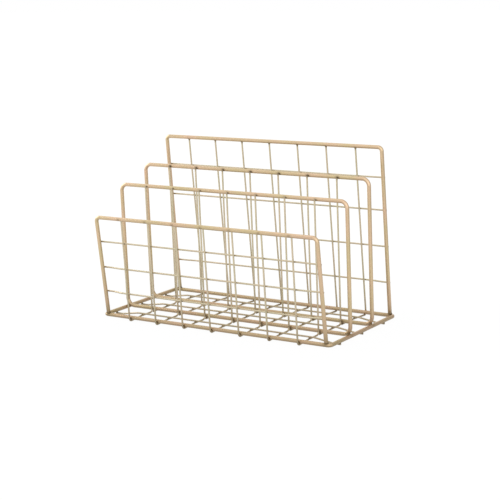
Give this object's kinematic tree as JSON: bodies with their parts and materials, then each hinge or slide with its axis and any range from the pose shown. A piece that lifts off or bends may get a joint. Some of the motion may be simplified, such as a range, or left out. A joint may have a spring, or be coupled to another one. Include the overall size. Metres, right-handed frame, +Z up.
{
  "type": "file rack",
  "caption": "Stepped wire file rack with three open slots between a low front panel, taller dividers and a tall rear panel.",
  "frame": {"origin": "centre of the footprint at the level it stands on", "axes": "+X along the length, +Y from the low front panel to the tall rear panel, +Z up"},
  "size_m": [0.3164, 0.1588, 0.2027],
  "materials": {
    "frame_wire": "satin champagne gold",
    "grid_wire": "satin champagne gold"
  },
  "bodies": {
    "root": {"base_frame": "frame_wire", "front_frame": "frame_wire", "second_frame": "frame_wire", "third_frame": "frame_wire", "rear_frame": "frame_wire", "front_slot_wire_1": "grid_wire", "front_slot_wire_2": "grid_wire", "front_slot_wire_3": "grid_wire", "front_slot_wire_4": "grid_wire", "front_slot_wire_5": "grid_wire", "front_slot_wire_6": "grid_wire", "front_slot_wire_7": "grid_wire", "middle_slot_wire_1": "grid_wire", "middle_slot_wire_2": "grid_wire", "middle_slot_wire_3": "grid_wire", "middle_slot_wire_4": "grid_wire", "middle_slot_wire_5": "grid_wire", "middle_slot_wire_6": "grid_wire", "middle_slot_wire_7": "grid_wire", "rear_slot_wire_1": "grid_wire", "rear_slot_wire_2": "grid_wire", "rear_slot_wire_3": "grid_wire", "rear_slot_wire_4": "grid_wire", "rear_slot_wire_5": "grid_wire", "rear_slot_wire_6": "grid_wire", "rear_slot_wire_7": "grid_wire", "front_rail_1": "grid_wire", "front_rail_2": "grid_wire", "front_rail_3": "grid_wire", "rear_rail_1": "grid_wire", "rear_rail_2": "grid_wire", "rear_rail_3": "grid_wire", "rear_rail_4": "grid_wire", "base_cross_wire_1": "grid_wire", "base_cross_wire_2": "grid_wire", "base_cross_wire_3": "grid_wire"}
  },
  "joints": []
}
